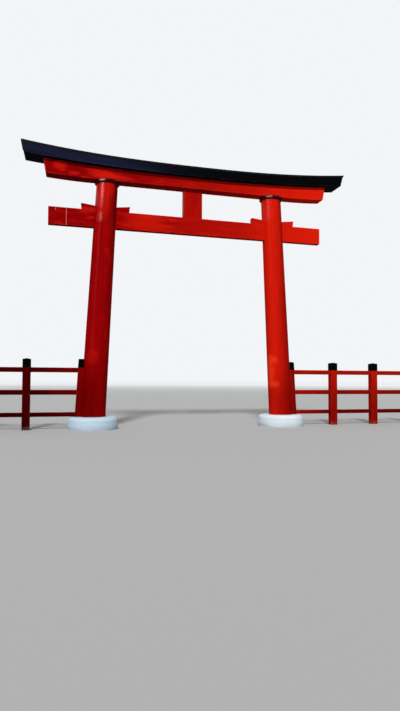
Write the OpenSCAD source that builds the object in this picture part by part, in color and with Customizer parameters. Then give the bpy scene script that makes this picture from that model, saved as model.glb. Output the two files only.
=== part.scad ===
// Vermilion torii gate with its flanking rail fence, in millimetres.
// The origin is on the ground midway between the columns. X runs along the beams,
// Y from the front (-Y) to the back, and Z is up. The right-hand half is drawn and
// the left-hand half mirrors it.

/* [Columns] */
// Distance between the column axes at the tops of the plinths
foot_span = 5720; // [5200:10:6400]
// Distance between the column axes at the column heads
head_span = 5080; // [4600:10:5700]
// Diameter of a column at the top of its plinth
foot_d = 714; // [620:2:780]
// Diameter of a column at its head
head_d = 610; // [540:2:660]
// Height of the column heads above the ground
head_z = 7010; // [6700:5:7600]
// Depth that a column's foot goes down into its plinth
foot_depth = 250; // [120:10:300]

/* [Plinths] */
// Height of a plinth
plinth_h = 350; // [320:10:450]
// Diameter of a plinth on the ground
plinth_d = 1380; // [1300:10:1600]
// Radius of the round shoulder of a plinth
shoulder_r = 130; // [80:5:160]
// How far the side of a plinth bellies out beyond its foot
plinth_belly = 12; // [4:1:24]

/* [Capital rings] */
// Diameter of a capital ring
ring_d = 716; // [680:2:760]
// Height of a capital ring
ring_h = 83; // [60:1:140]
// Radius of the rounded rims of a capital ring
ring_rim_r = 26; // [6:1:30]

/* [Tie beam and wedges] */
// Height of the tie beam's underside above the ground
tie_z = 5735; // [5400:5:5900]
// Height of the tie beam's section
tie_h = 500; // [420:5:560]
// Thickness of the tie beam, front to back
tie_t = 180; // [140:5:240]
// Length of the tie beam
tie_len = 8340; // [7800:10:8800]
// Length of a wedge along its top, from the middle of its column to its butt
wedge_len = 695; // [600:5:760]
// Height of a wedge at its thin end
wedge_tip_h = 90; // [60:2:110]
// Height of a wedge at its butt
wedge_butt_h = 170; // [130:2:200]
// How far a wedge's butt leans out from underside to top
wedge_rake = 24; // [0:2:50]

/* [Centre strut] */
// Width of the centre strut
strut_w = 576; // [440:2:700]
// Thickness of the centre strut, front to back
strut_t = 180; // [120:5:240]

/* [Lower lintel] */
// Length of the lower lintel along its underside
lower_len = 8480; // [8000:10:9000]
// Height of the lower lintel at the middle
lower_h = 330; // [280:5:400]
// Thickness of the lower lintel, front to back
lower_t = 380; // [300:5:460]
// How far the straight middle stretch of its underside runs past the capital rings
straight_past = 80; // [0:5:400]
// Rise of its underside at the ends
lower_sori = 46; // [20:2:110]
// How far its ends lean out from underside to top
lower_rake = 80; // [30:5:140]

/* [Upper lintel] */
// Length of the upper lintel along its underside
upper_len = 9640; // [9200:10:10200]
// Height of its face at the middle
upper_h = 286; // [240:2:340]
// Depth of its underside, front to back
upper_t = 606; // [520:2:700]
// Rise of its underside at the ends
upper_sori = 186; // [100:2:260]
// Extra height of its face at the ends
upper_swell = 54; // [10:2:90]
// How far its ends lean out from underside to top
upper_rake = 80; // [30:5:140]
// How far its front and back faces lean out from underside to top
upper_lean = 16; // [0:1:40]
// Rise of its two top slopes to the ridge
ridge_rise = 90; // [50:2:120]
// Power of the curve that its underside and top edge follow
sori_power = 2.5; // [2:0.1:3.5]

/* [Roof cover] */
// Thickness of the cover over the upper lintel
cover_t = 14; // [8:1:24]
// Height of the cover's drip edge
cover_drip = 45; // [25:1:70]
// How far the cover stands past the upper lintel's ends
cover_over = 12; // [4:1:30]

/* [Fence] */
// Width of a square fence post
post_w = 210; // [160:5:260]
// Height of a fence post with its cap
fence_h = 1970; // [1850:10:2200]
// Distance from a column's axis at the plinth top to the first post
first_bay = 1800; // [1500:10:2200]
// Distance between the other posts
bay = 1450; // [1000:10:1700]
// How far an end post stands out from its column
end_post_w = 140; // [100:5:200]
// Height of the upper rails' section
rail_h = 136; // [100:2:160]
// Height of the bottom rail's section
bottom_rail_h = 120; // [90:2:140]
// Thickness of a rail, front to back
rail_t = 100; // [70:5:140]
// Height of the top rail's underside
top_rail_z = 1584; // [1500:2:1620]
// Height of the middle rail's underside
middle_rail_z = 962; // [800:2:1100]
// Gap between a plinth and the bottom rail over it
bottom_rail_gap = 5; // [3:1:30]
// Length of a rail's tenon in its end post
tenon_len = 60; // [30:5:90]
// Wall of a post cap
cap_wall = 4; // [3:0.5:8]
// Rise of a post cap's pyramid top
cap_rise = 24; // [10:2:50]

/* [Joinery] */
// Clearance where one piece fits in or under another
fit = 0.3; // [0.2:0.1:1]
// Width of the planed-off corners of straight timbers
arris = 8; // [3:1:14]
// Width of the square tenon on a column's head
head_tenon_w = 200; // [140:5:240]
// Depth that a column's head tenon reaches into the lower lintel
head_tenon_depth = 150; // [80:5:200]
// Width of the tenons at both ends of the centre strut
strut_tenon_w = 300; // [200:5:340]
// Thickness of those tenons, front to back
strut_tenon_t = 60; // [40:2:80]
// Length of those tenons
strut_tenon_len = 70; // [40:5:110]

/* [Hidden] */
$fn = 96;

left = -1;
right = 1;
outward = 1;
inward = -1;
posts_per_side = 3;

// Extra length of cutting solids past what they cut
over = 400;
// Half the number of straight steps that a curved beam's length is drawn with
half_steps = 24;
// Steps in the round shoulder and the belly of a plinth
shoulder_steps = 10;

vermilion = [0.78, 0.13, 0.08];
black_lacquer = [0.06, 0.07, 0.10];
dark_copper = [0.09, 0.10, 0.10];
bronze = [0.20, 0.13, 0.11];
plaster = [0.90, 0.92, 0.95];

// Columns: the lean of the axis, and the taper along it
lean_run = (foot_span - head_span) / 2;
lean_rise = head_z - plinth_h;
lean = atan(lean_run / lean_rise);
axis_len = norm([lean_run, lean_rise]);
taper = (foot_d - head_d) / 2 / axis_len;
function axis_x(z) = foot_span / 2 - (z - plinth_h) * lean_run / lean_rise;

// Beams: the levels that stack up from the column heads
tie_top = tie_z + tie_h;
lower_z = head_z + ring_h;
upper_z = lower_z + lower_h;
lower_half = lower_len / 2;
lower_straight_half = head_span / 2 + ring_d / 2 + straight_past;
upper_half = upper_len / 2;
upper_top_half = upper_half + upper_rake;
wedge_slope = (wedge_butt_h - wedge_tip_h) / wedge_len;

// Heights of the lintels' edges at a distance x from the middle
function curve(x, half, rise) = rise * pow(abs(x) / half, sori_power);
function upper_under(x) = upper_z + curve(x, upper_half, upper_sori);
function upper_edge(x) = upper_z + upper_h + curve(x, upper_top_half, upper_sori + upper_swell);
function lower_under(x) =
    let (past = max(0, abs(x) - lower_straight_half) / (lower_half - lower_straight_half))
    lower_z + lower_sori * past * past;
// Half the upper lintel's length at a height h above its underside, along its raked ends
function half_at(h) = upper_half + upper_rake * h / upper_h;

// Fence: levels and the line of an end post's outer face
bottom_rail_z = plinth_h + bottom_rail_gap;
cap_z = top_rail_z + rail_h + 2;
post_top = fence_h - cap_rise - cap_wall - fit;
outer_slope = (lean_run + (foot_d - head_d) / 2) / lean_rise;
scribe = head_d / 2 - sqrt(pow(head_d / 2, 2) - pow(post_w / 2 + cap_wall + fit, 2)) + 20;
function end_post_outer(z) = foot_span / 2 + foot_d / 2 + end_post_w - (z - plinth_h) * outer_slope;
function post_x(i) = foot_span / 2 + first_bay + (i - 1) * bay;

// Draws its children on the right, or mirrored on the left
module on_side(side) {
    if (side == right) children();
    else mirror([1, 0, 0]) children();
}

// A rectangle centred across X and standing on Y = 0, with its corners planed off
module timber_section(w, h) {
    polygon([
        [-w / 2 + arris, 0], [w / 2 - arris, 0], [w / 2, arris], [w / 2, h - arris],
        [w / 2 - arris, h], [-w / 2 + arris, h], [-w / 2, h - arris], [-w / 2, arris]
    ]);
}

// A straight timber along X from x0 to x1, standing on z
module timber_along_x(x0, x1, z, w, h) {
    translate([x0, 0, z]) rotate([90, 0, 90]) linear_extrude(x1 - x0) timber_section(w, h);
}

// A plate whose outline lies in the XZ plane, t thick and centred on Y = 0
module upright_plate(outline, t) {
    translate([0, t / 2, 0]) rotate([90, 0, 0]) linear_extrude(t) polygon(outline);
}

// The right-hand column's leaning, tapering shaft, longer than the column at both ends
module leaning_shaft(grow = 0) {
    translate([foot_span / 2, 0, plinth_h]) rotate([0, -lean, 0]) translate([0, 0, -over])
        cylinder(h = axis_len + 2 * over,
            r1 = foot_d / 2 + taper * over + grow, r2 = head_d / 2 - taper * over + grow);
}

module plinth(side) {
    side_h = plinth_h - shoulder_r;
    belly = [for (i = [0 : shoulder_steps]) let (s = i / shoulder_steps)
        [plinth_d / 2 + plinth_belly * sin(180 * s), side_h * s]];
    shoulder = [for (i = [1 : shoulder_steps]) let (a = 90 * i / shoulder_steps)
        [plinth_d / 2 - shoulder_r + shoulder_r * cos(a), side_h + shoulder_r * sin(a)]];
    color(plaster) on_side(side) difference() {
        translate([foot_span / 2, 0, 0]) rotate_extrude()
            polygon(concat([[0, 0]], belly, shoulder, [[0, plinth_h]]));
        intersection() {
            leaning_shaft(fit);
            translate([0, -plinth_d, plinth_h - foot_depth])
                cube([foot_span, 2 * plinth_d, foot_depth + over]);
        }
    }
}

// The hole through a column for the tie beam, with sloping room over it for both wedges
module tie_mortise() {
    x = axis_x(tie_top);
    reach = foot_d;
    roof = tie_top + wedge_tip_h + fit;
    upright_plate([
        [x - reach, tie_z - fit], [x + reach, tie_z - fit],
        [x + reach, roof + wedge_slope * reach], [x, roof], [x - reach, roof + wedge_slope * reach]
    ], tie_t + 2 * fit);
}

module column(side) {
    color(vermilion) on_side(side) difference() {
        intersection() {
            leaning_shaft();
            translate([0, -foot_d, plinth_h - foot_depth])
                cube([foot_span, 2 * foot_d, head_z - plinth_h + foot_depth]);
        }
        tie_mortise();
    }
    color(vermilion) on_side(side) head_tenon(head_z - head_tenon_depth, 0);
}

// The square tenon of the right-hand column's head, up from a height inside the column
module head_tenon(from_z, grow) {
    w = head_tenon_w + 2 * grow;
    translate([head_span / 2 - w / 2, -w / 2, from_z])
        cube([w, w, lower_z + head_tenon_depth + grow - from_z]);
}

module capital_ring(side) {
    r = ring_d / 2;
    rim = ring_rim_r;
    under_rim = [for (i = [0 : 6]) let (a = 15 * i - 90) [r - rim + rim * cos(a), rim + rim * sin(a)]];
    over_rim = [for (i = [0 : 6]) let (a = 15 * i) [r - rim + rim * cos(a), ring_h - rim + rim * sin(a)]];
    color(bronze) on_side(side) difference() {
        translate([head_span / 2, 0, head_z])
            rotate_extrude() polygon(concat([[0, 0]], under_rim, over_rim, [[0, ring_h]]));
        head_tenon(head_z - over, fit);
    }
}

module tie_beam() {
    color(vermilion) difference() {
        timber_along_x(-tie_len / 2, tie_len / 2, tie_z, tie_t, tie_h);
        strut_tenon(tie_top - strut_tenon_len - fit, tie_top + over, fit);
    }
}

// A wedge driven from one side of a column to its middle
module wedge(side, way) {
    tip = axis_x(tie_top) + way * fit / 2;
    butt = axis_x(tie_top) + way * wedge_len;
    color(vermilion) on_side(side) upright_plate([
        [tip, tie_top], [butt - way * wedge_rake, tie_top],
        [butt, tie_top + wedge_butt_h], [tip, tie_top + wedge_tip_h]
    ], tie_t);
}

// The tenon through the middle of the centre strut, between two levels
module strut_tenon(z0, z1, grow) {
    w = strut_tenon_w + 2 * grow;
    t = strut_tenon_t + 2 * grow;
    translate([-w / 2, -t / 2, z0]) cube([w, t, z1 - z0]);
}

module centre_strut() {
    color(vermilion) translate([0, -strut_t / 2, tie_top])
        linear_extrude(lower_z - fit - tie_top) timber_section(strut_w, strut_t);
    color(vermilion) strut_tenon(tie_top - strut_tenon_len, lower_z + strut_tenon_len, 0);
}

module lower_lintel() {
    top_half = lower_half + lower_rake;
    steps = [for (i = [-half_steps : half_steps]) i / half_steps];
    under = [for (s = steps) [lower_half * s, lower_under(lower_half * s)]];
    top = [for (s = steps) [-top_half * s, upper_under(top_half * s) - fit]];
    color(vermilion) difference() {
        upright_plate(concat(under, top), lower_t);
        strut_tenon(lower_z - over, lower_z + strut_tenon_len + fit, fit);
        for (side = [left, right]) on_side(side) head_tenon(head_z, fit);
    }
}

// A closed solid through a list of sections that each have the same number of points
module loft(sections) {
    n = len(sections[0]);
    last = len(sections) - 1;
    sides = [for (i = [0 : last - 1], j = [0 : n - 1])
        [i * n + j, i * n + (j + 1) % n, (i + 1) * n + (j + 1) % n, (i + 1) * n + j]];
    caps = [[for (j = [n - 1 : -1 : 0]) j], [for (j = [0 : n - 1]) last * n + j]];
    polyhedron([for (s = sections, p = s) p], concat(sides, caps));
}

// The upper lintel's section at u, from -1 at the left end to 1 at the right end
function upper_section(u) =
    let (
        y = upper_t / 2,
        x_under = u * upper_half,
        x_edge = u * upper_top_half,
        x_ridge = u * half_at(upper_h + ridge_rise),
        z_under = upper_under(x_under),
        z_edge = upper_edge(x_edge)
    )
    [
        [x_under, -y, z_under], [x_edge, -y - upper_lean, z_edge], [x_ridge, 0, z_edge + ridge_rise],
        [x_edge, y + upper_lean, z_edge], [x_under, y, z_under]
    ];

module upper_lintel() {
    color(black_lacquer) loft([for (i = [-half_steps : half_steps]) upper_section(i / half_steps)]);
}

// The roof cover's section at u: outside from the front drip edge to the back one, then inside.
// It follows the upper lintel's edge and ridge and runs on past both ends.
function cover_section(u) =
    let (
        v = u * (upper_top_half + cover_over) / upper_top_half,
        x_low = v * half_at(upper_h - cover_drip),
        x_edge = v * upper_top_half,
        x_ridge = v * half_at(upper_h + ridge_rise),
        y_in = upper_t / 2 + upper_lean + fit,
        y_out = y_in + cover_t,
        z_in = upper_edge(x_edge) + fit,
        z_out = z_in + cover_t,
        z_low = z_in - cover_drip
    )
    [
        [x_low, -y_out, z_low], [x_edge, -y_out, z_out], [x_ridge, 0, z_out + ridge_rise],
        [x_edge, y_out, z_out], [x_low, y_out, z_low],
        [x_low, y_in, z_low], [x_edge, y_in, z_in], [x_ridge, 0, z_in + ridge_rise],
        [x_edge, -y_in, z_in], [x_low, -y_in, z_low]
    ];

module roof_cover() {
    color(dark_copper) loft([for (i = [-half_steps : half_steps]) cover_section(i / half_steps)]);
}

// Holes through the straight posts for the three rails
module rail_mortises(x0, x1) {
    for (rail = [[bottom_rail_z, bottom_rail_h], [middle_rail_z, rail_h], [top_rail_z, rail_h]])
        translate([x0, -rail_t / 2 - fit, rail[0] - fit])
            cube([x1 - x0, rail_t + 2 * fit, rail[1] + 2 * fit]);
}

module fence_post(side, i) {
    color(vermilion) on_side(side) difference() {
        translate([post_x(i), -post_w / 2, 0]) linear_extrude(post_top) timber_section(post_w, post_w);
        rail_mortises(post_x(i) - post_w, post_x(i) + post_w);
    }
}

// The outline of an end post between two levels, reaching into the column that it is scribed to
function end_post_outline(z0, z1, grow = 0) =
    let (depth = end_post_w + scribe)
    [
        [end_post_outer(z0) - depth, z0], [end_post_outer(z0) + grow, z0],
        [end_post_outer(z1) + grow, z1], [end_post_outer(z1) - depth, z1]
    ];

module fence_end_post(side) {
    color(vermilion) on_side(side) difference() {
        upright_plate(end_post_outline(plinth_h, post_top), post_w);
        leaning_shaft(fit);
        for (rail = [[bottom_rail_z, bottom_rail_h], [middle_rail_z, rail_h], [top_rail_z, rail_h]])
            translate([rail_start(rail[0], rail[1]) - fit, -rail_t / 2 - fit, rail[0] - fit])
                cube([post_w, rail_t + 2 * fit, rail[1] + 2 * fit]);
    }
}

// Where a rail's tenon ends inside the end post
function rail_start(z, h) = end_post_outer(z + h) - tenon_len;

module fence_rail(side, z, h) {
    color(vermilion) on_side(side)
        timber_along_x(rail_start(z, h), post_x(posts_per_side) + post_w / 2, z, rail_t, h);
}

// A gabled outline w wide from z0 to the fence's top, centred on its own axis
function gable(w, z0) = [
    [-w / 2, z0], [w / 2, z0], [w / 2, fence_h - cap_rise], [0, fence_h], [-w / 2, fence_h - cap_rise]
];

module fence_cap(side, i) {
    pocket = post_w + 2 * fit;
    outside = pocket + 2 * cap_wall;
    color(black_lacquer) on_side(side) translate([post_x(i), 0, 0]) difference() {
        intersection() {
            upright_plate(gable(outside, cap_z), outside);
            rotate([0, 0, 90]) upright_plate(gable(outside, cap_z), outside);
        }
        translate([-pocket / 2, -pocket / 2, cap_z - over]) cube([pocket, pocket, post_top + fit - cap_z + over]);
    }
}

// The cap of an end post: a sleeve with a ridge top, cut to the column like its post
module fence_end_cap(side) {
    pocket = post_w + 2 * fit;
    outside = pocket + 2 * cap_wall;
    color(black_lacquer) on_side(side) difference() {
        intersection() {
            upright_plate(end_post_outline(cap_z, fence_h, fit + cap_wall), outside);
            translate([foot_span / 2, 0, 0]) rotate([0, 0, 90])
                upright_plate(gable(outside, cap_z), foot_span);
        }
        upright_plate(end_post_outline(cap_z - over, post_top + fit, fit), pocket);
        leaning_shaft(fit);
    }
}

plinth(left);  // left_plinth
plinth(right);  // right_plinth
column(left);  // left_column
column(right);  // right_column
capital_ring(left);  // left_capital_ring
capital_ring(right);  // right_capital_ring
tie_beam();
wedge(left, outward);  // left_outer_wedge
wedge(left, inward);  // left_inner_wedge
wedge(right, inward);  // right_inner_wedge
wedge(right, outward);  // right_outer_wedge
centre_strut();
lower_lintel();
upper_lintel();
roof_cover();
fence_end_post(left);  // left_fence_end_post
fence_end_post(right);  // right_fence_end_post
fence_end_cap(left);  // left_fence_cap_0
fence_end_cap(right);  // right_fence_cap_0
for (i = [1 : posts_per_side]) {
    fence_post(left, i);
    fence_post(right, i);
    fence_cap(left, i);
    fence_cap(right, i);
}
fence_rail(left, top_rail_z, rail_h);  // left_fence_top_rail
fence_rail(left, middle_rail_z, rail_h);  // left_fence_middle_rail
fence_rail(left, bottom_rail_z, bottom_rail_h);  // left_fence_bottom_rail
fence_rail(right, top_rail_z, rail_h);  // right_fence_top_rail
fence_rail(right, middle_rail_z, rail_h);  // right_fence_middle_rail
fence_rail(right, bottom_rail_z, bottom_rail_h);  // right_fence_bottom_rail
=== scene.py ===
import math
from functools import cache

import bpy
import numpy as np
from bpy.props import FloatProperty, FloatVectorProperty, IntProperty, PointerProperty
from mathutils import Matrix, Vector


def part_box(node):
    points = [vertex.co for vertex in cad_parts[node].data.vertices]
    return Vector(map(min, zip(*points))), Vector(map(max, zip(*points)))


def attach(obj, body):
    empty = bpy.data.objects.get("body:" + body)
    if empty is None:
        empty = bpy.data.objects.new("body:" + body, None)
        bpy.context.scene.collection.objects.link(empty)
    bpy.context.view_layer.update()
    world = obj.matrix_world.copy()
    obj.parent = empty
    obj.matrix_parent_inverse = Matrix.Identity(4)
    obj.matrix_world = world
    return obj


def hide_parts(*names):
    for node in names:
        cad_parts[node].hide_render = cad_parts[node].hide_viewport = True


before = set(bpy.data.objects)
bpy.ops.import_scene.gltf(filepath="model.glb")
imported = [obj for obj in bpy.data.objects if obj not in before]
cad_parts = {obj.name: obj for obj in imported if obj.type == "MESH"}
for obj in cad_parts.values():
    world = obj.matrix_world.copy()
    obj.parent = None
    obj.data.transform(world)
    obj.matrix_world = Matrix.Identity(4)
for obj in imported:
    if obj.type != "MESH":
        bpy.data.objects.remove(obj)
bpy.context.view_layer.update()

bl_info = {
    "name": "Torii Gate",
    "version": (1, 0, 0),
    "blender": (4, 5, 0),
    "location": "View3D > Sidebar > Torii Gate",
    "description": "Dresses the frame of a vermilion torii gate with lacquered timber, plaster and copper",
    "category": "Add Mesh",
}

SIDES = ("left", "right")
HANDS = {"left": -1.0, "right": 1.0}
WEDGES = ("left_outer_wedge", "left_inner_wedge", "right_inner_wedge", "right_outer_wedge")
RAILS = ("top", "middle", "bottom")
POSTS = (1, 2, 3)
BODY = "root"
VERMILION = "vermilion_lacquer"
MM = 0.001
TURN = 2 * math.pi
# Edges that turn more than this are drawn sharp
SHARP = math.radians(40)
# The wall of a post cap and the height of its pyramid
CAP_WALL = 4 * MM
CAP_RISE = 24 * MM
# How far the columns' outer sides and the end posts lean in for each metre of height, and how far out
# those sides and the end posts' outer faces would stand at the ground, as a range that blurs their edge
LEAN = 0.0556
COLUMN_SIDE = (3.245, 3.230)
END_POST_SIDE = (3.390, 3.375)
# A reach that takes in the whole depth of the gate
THROUGH = 9.0
# Painted highlights: pale places on the lacquer that stand for light reflected off it, each with its middle
# and reach in metres, and its strength
PAINTED_HIGHLIGHTS = (
    ((-1.40, 0.0, 5.98), (0.85, THROUGH, 0.40), 0.42),
    ((-2.75, 0.0, 7.28), (0.50, THROUGH, 0.20), 0.55),
    ((-2.62, -0.3, 6.95), (0.40, 0.5, 0.45), 0.40),
    ((-2.67, -0.3, 6.40), (0.26, 0.4, 0.62), 0.32),
    ((-2.92, -0.3, 2.00), (0.25, 0.4, 0.24), 0.20),
    ((-3.87, 0.0, 7.40), (0.24, THROUGH, 0.16), 0.48),
    ((-3.49, 0.0, 7.20), (0.20, THROUGH, 0.08), 0.38),
    ((-2.17, 0.0, 7.19), (0.40, THROUGH, 0.10), 0.38),
    ((-3.11, 0.0, 6.20), (0.32, THROUGH, 0.11), 0.32),
)
# Painted sunlight: orange dapples of light on the columns' lacquer: the same three things
PAINTED_DAPPLES = (
    ((2.49, -0.19, 2.02), (0.22, 0.24, 0.17), 0.62),
    ((2.47, -0.10, 1.62), (0.14, 0.24, 0.38), 0.60),
    ((2.51, -0.19, 1.28), (0.22, 0.25, 0.14), 0.56),
)
# The pale joint lines at the tie beam's left end: the distance from the end, and the share of the
# beam's height that each covers, from and to
SEAMS = ((495 * MM, 0.0, 1.0), (200 * MM, 0.82, 1.0))
SEAM_W = 20 * MM
# The colours of the painted orange dapples of sunlight, of the filler in those joints, and of worn arrises,
# which also carry a painted highlight
DAPPLE_ORANGE = (1.0, 0.048, 0.011)
FILLER = (0.55, 0.17, 0.15)
WORN_AND_SHEEN = (0.80, 0.07, 0.035)
# The rays that show a surface to the camera: straight, in gloss and through glass
SEEING_RAYS = ("Is Camera Ray", "Is Glossy Ray", "Is Transmission Ray")


# Sizes, colours and lights that a user would change


class ToriiTimber(bpy.types.PropertyGroup):
    """How the timbers are planed and rounded."""

    arris: FloatProperty(
        name="Arris radius", description="Radius of the rounded corners of beams, posts and rails",
        default=9 * MM, min=2 * MM, max=30 * MM, unit="LENGTH",
    )
    lintel_arris: FloatProperty(
        name="Lintel arris radius", description="Radius of the rounded corners of the two lintels",
        default=16 * MM, min=4 * MM, max=40 * MM, unit="LENGTH",
    )
    ring_rim: FloatProperty(
        name="Ring rim radius", description="Radius of the rounded rims of the capital rings",
        default=26 * MM, min=2 * MM, max=40 * MM, unit="LENGTH",
    )
    pitch: FloatProperty(
        name="Mesh pitch", description="Length of a face along a timber",
        default=90 * MM, min=20 * MM, max=400 * MM, unit="LENGTH",
    )
    planing: FloatProperty(
        name="Planing depth", description="Depth of the shallow hollows that hand planing leaves",
        default=1.2 * MM, min=0, max=5 * MM, unit="LENGTH",
    )
    column_faces: IntProperty(
        name="Faces round a column", description="Number of faces round a column, a ring or a plinth",
        default=160, min=32, max=512,
    )


class ToriiCover(bpy.types.PropertyGroup):
    """How the copper cover of the upper lintel is laid."""

    sheet: FloatProperty(
        name="Sheet length", description="Length of one copper sheet between its folded seams",
        default=910 * MM, min=300 * MM, max=2000 * MM, unit="LENGTH",
    )
    seam_w: FloatProperty(
        name="Seam width", description="Width of a folded seam",
        default=22 * MM, min=8 * MM, max=60 * MM, unit="LENGTH",
    )
    seam_h: FloatProperty(
        name="Seam height", description="Height of a folded seam over the sheets",
        default=4 * MM, min=1 * MM, max=10 * MM, unit="LENGTH",
    )


class ToriiPlinth(bpy.types.PropertyGroup):
    """How the plaster of the plinths is trowelled."""

    trowel: FloatProperty(
        name="Trowel depth", description="Depth of the soft hollows that the trowel leaves",
        default=5 * MM, min=0, max=20 * MM, unit="LENGTH",
    )


class ToriiPaint(bpy.types.PropertyGroup):
    """The colours of the finishes."""

    # The two tints differ by painted light: the left one is the lacquer under painted shade, the right one
    # under painted sunlight
    vermilion_painted_shade: FloatVectorProperty(
        name="Shaded vermilion", description="Lacquer at the left end, deep and unfaded",
        subtype="COLOR", min=0, max=1, default=(0.29, 0.0006, 0.0016),
    )
    vermilion_painted_sun: FloatVectorProperty(
        name="Sunny vermilion", description="Lacquer at the right end, bleached by the sun",
        subtype="COLOR", min=0, max=1, default=(0.72, 0.0130, 0.0032),
    )
    black: FloatVectorProperty(
        name="Black lacquer", description="Lacquer of the upper lintel",
        subtype="COLOR", min=0, max=1, default=(0.0016, 0.0016, 0.0022),
    )
    # The blue-grey of a painted reflection of the sky on the black lacquer
    black_sky_sheen: FloatVectorProperty(
        name="Bloomed lacquer", description="The blue-grey bloom on old black lacquer",
        subtype="COLOR", min=0, max=1, default=(0.0118, 0.0142, 0.0385),
    )
    copper: FloatVectorProperty(
        name="Dark copper", description="Weathered copper of the roof cover",
        subtype="COLOR", min=0, max=1, default=(0.0030, 0.0030, 0.0034),
    )
    plaster: FloatVectorProperty(
        name="Plaster", description="Lime plaster of the plinths",
        subtype="COLOR", min=0, max=1, default=(0.68, 0.75, 0.80),
    )
    plaster_shaded: FloatVectorProperty(
        name="Shaded plaster", description="Lime plaster at the left, blue with open shade",
        subtype="COLOR", min=0, max=1, default=(0.46, 0.60, 0.71),
    )
    earth: FloatVectorProperty(
        name="Earth", description="Dust and splashed earth near the ground",
        subtype="COLOR", min=0, max=1, default=(0.30, 0.27, 0.22),
    )


class ToriiStage(bpy.types.PropertyGroup):
    """The camera and the lights."""

    place: FloatVectorProperty(
        name="Camera place", description="Where the camera stands",
        subtype="XYZ", default=(-3.838, -15.409, 1.40), unit="LENGTH",
    )
    yaw: FloatProperty(
        name="Yaw", description="Turn of the camera to the right of straight ahead",
        default=math.radians(14.92), subtype="ANGLE",
    )
    tilt: FloatProperty(
        name="Tilt", description="Tilt of the camera above the level",
        default=math.radians(2.60), subtype="ANGLE",
    )
    roll: FloatProperty(
        name="Roll", description="How far the camera's right side is raised",
        default=math.radians(0.305), subtype="ANGLE",
    )
    lens: FloatProperty(
        name="Focal length", description="Focal length on a 36 mm high sensor",
        default=27.03, min=10, max=200, unit="CAMERA",
    )
    sky: FloatProperty(
        name="Sky light", description="Strength of the even light from all round",
        default=0.44, min=0, max=3,
    )
    sun: FloatProperty(
        name="Sun light", description="Strength of the soft light from the front left",
        default=2.75, min=0, max=10,
    )
    glint: FloatProperty(
        name="Glint light", description="Strength of the low light that shows only in gloss",
        default=1.25, min=0, max=10,
    )


# Measures taken from the frame


def corners(node):
    """Lowest and highest corner of a CAD node as arrays."""
    lo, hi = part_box(node)
    return np.array(lo), np.array(hi)


def vertices(node):
    """The places of all vertices of a CAD node."""
    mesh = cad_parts[node].data
    co = np.zeros(3 * len(mesh.vertices))
    mesh.vertices.foreach_get("co", co)
    return co.reshape(-1, 3)


def at(co, axis, value, close=0.1 * MM):
    """Those of some vertices whose coordinate along an axis comes close to a value."""
    return co[np.abs(co[:, axis] - value) < close]


def level_ring(node, z):
    """Centre x and radius of the round section that a CAD node has at height z."""
    ring = at(vertices(node), 2, z)
    return (ring[:, 0].min() + ring[:, 0].max()) / 2, np.abs(ring[:, 1]).max()


def long_edge(node, y, pick):
    """Half length, middle height and end height of the edge of a curved beam that runs at depth y.

    Where the beam has two such edges, pick is min for the lower one and max for the upper one.
    """
    edge = at(vertices(node), 1, y, MM)
    half = edge[:, 0].max()
    return half, pick(at(edge, 0, 0, MM)[:, 2]), pick(at(edge, 0, half, MM)[:, 2])


def seam_lines():
    """Place along the beam, lowest and highest point of each pale joint line on the tie beam."""
    lo, hi = corners("tie_beam")
    rise = hi[2] - lo[2]
    return [(lo[0] + away, lo[2] + rise * low, lo[2] + rise * top) for away, low, top in SEAMS]


# Surfaces


def spaced(start, stop, pitch):
    """Even steps of about the pitch between two values, without the values themselves."""
    count = max(1, int(round(abs(stop - start) / pitch)))
    return np.linspace(start, stop, count + 1)[1:-1]


def rounded_outline(points, radius, pitch, steps=4, closed=True):
    """Points, outward normals and arris weights round an anticlockwise outline with rounded corners.

    A corner C between edges with unit normals m and n becomes an arc of radius r about the
    point C - r (m + n) / (1 + m.n), drawn in equal steps of angle. A straight stretch has a
    point close to each arc and others at about the pitch. An open outline keeps its two end
    points sharp. The arris weight is 1 on the arcs and 0 on the straight stretches.
    """
    points = np.asarray(points, float)
    edges = np.roll(points, -1, axis=0) - points
    normals = np.stack([edges[:, 1], -edges[:, 0]], 1) / np.linalg.norm(edges, axis=1)[:, None]
    count = len(points)
    arcs = []
    for i in range(count):
        before, after = normals[i - 1], normals[i]
        if not closed and i in (0, count - 1):
            normal = after if i == 0 else before
            arcs.append((points[i][None], normal[None]))
            continue
        centre = points[i] - radius * (before + after) / (1 + before @ after)
        first = math.atan2(before[1], before[0])
        swing = math.atan2(before[0] * after[1] - before[1] * after[0], before @ after)
        angles = first + swing * np.linspace(0, 1, steps + 1)
        normal = np.stack([np.cos(angles), np.sin(angles)], 1)
        arcs.append((centre + radius * normal, normal))
    rows = []
    for i in range(count):
        spots, facing = arcs[i]
        rows.append(np.column_stack([spots, facing, np.ones(len(spots))]))
        if closed or i < count - 1:
            span = arcs[(i + 1) % count][0][0] - spots[-1]
            length = np.linalg.norm(span)
            near = min(0.3, radius / length)
            inner = np.concatenate([[near], spaced(near, 1 - near, pitch / length), [1 - near]])[:, None]
            rows.append(np.column_stack([spots[-1] + span * inner, normals[i] + 0 * inner, 0 * inner]))
    rows = np.concatenate(rows)
    return rows[:, :2], rows[:, 2:4], rows[:, 4]


def rectangle(w, h):
    """The corners of a rectangle centred across and standing on zero."""
    return [(-w / 2, 0), (w / 2, 0), (w / 2, h), (-w / 2, h)]


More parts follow.
